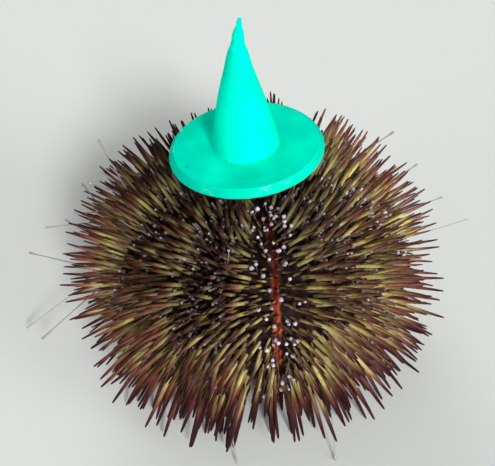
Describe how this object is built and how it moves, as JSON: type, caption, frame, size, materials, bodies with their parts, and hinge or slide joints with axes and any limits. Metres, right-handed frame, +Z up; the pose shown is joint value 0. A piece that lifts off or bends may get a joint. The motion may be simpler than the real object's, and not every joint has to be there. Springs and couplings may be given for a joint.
{
  "type": "variegated sea urchin with a small witch hat",
  "caption": "Still life-size sea urchin: a domed shell covered in tapered spines with tube feet, resting on its lower spines, with a small green witch hat on its crown",
  "frame": {"origin": "on the floor under the middle of the shell", "axes": "+Z up along the shell's axis towards the hat, -Y the front that faces the picture's camera, +X to the right of that view"},
  "size_m": [0.1143, 0.0901, 0.0853],
  "materials": {
    "spine": "satin calcite, olive at the root, brown-red to maroon at the tip",
    "shell_skin": "dark purple-brown living skin over the shell, moist",
    "mouth_skin": "soft leathery skin round the mouth",
    "tooth": "off-white calcite",
    "tube_foot": "pale translucent grey tissue",
    "pedicellaria": "pale lilac-white glossy globes on thin stalks",
    "hat_plastic": "turquoise green printed plastic with fine layer lines"
  },
  "bodies": {
    "root": {"interambulacrum_1": "spine", "interambulacrum_2": "spine", "interambulacrum_3": "spine", "interambulacrum_4": "spine", "interambulacrum_5": "spine", "ambulacrum_1": "spine", "ambulacrum_2": "spine", "ambulacrum_3": "spine", "ambulacrum_4": "spine", "ambulacrum_5": "spine", "apical_disc": "shell_skin", "peristome": "mouth_skin", "teeth": "tooth", "witch_hat": "hat_plastic"}
  },
  "joints": []
}
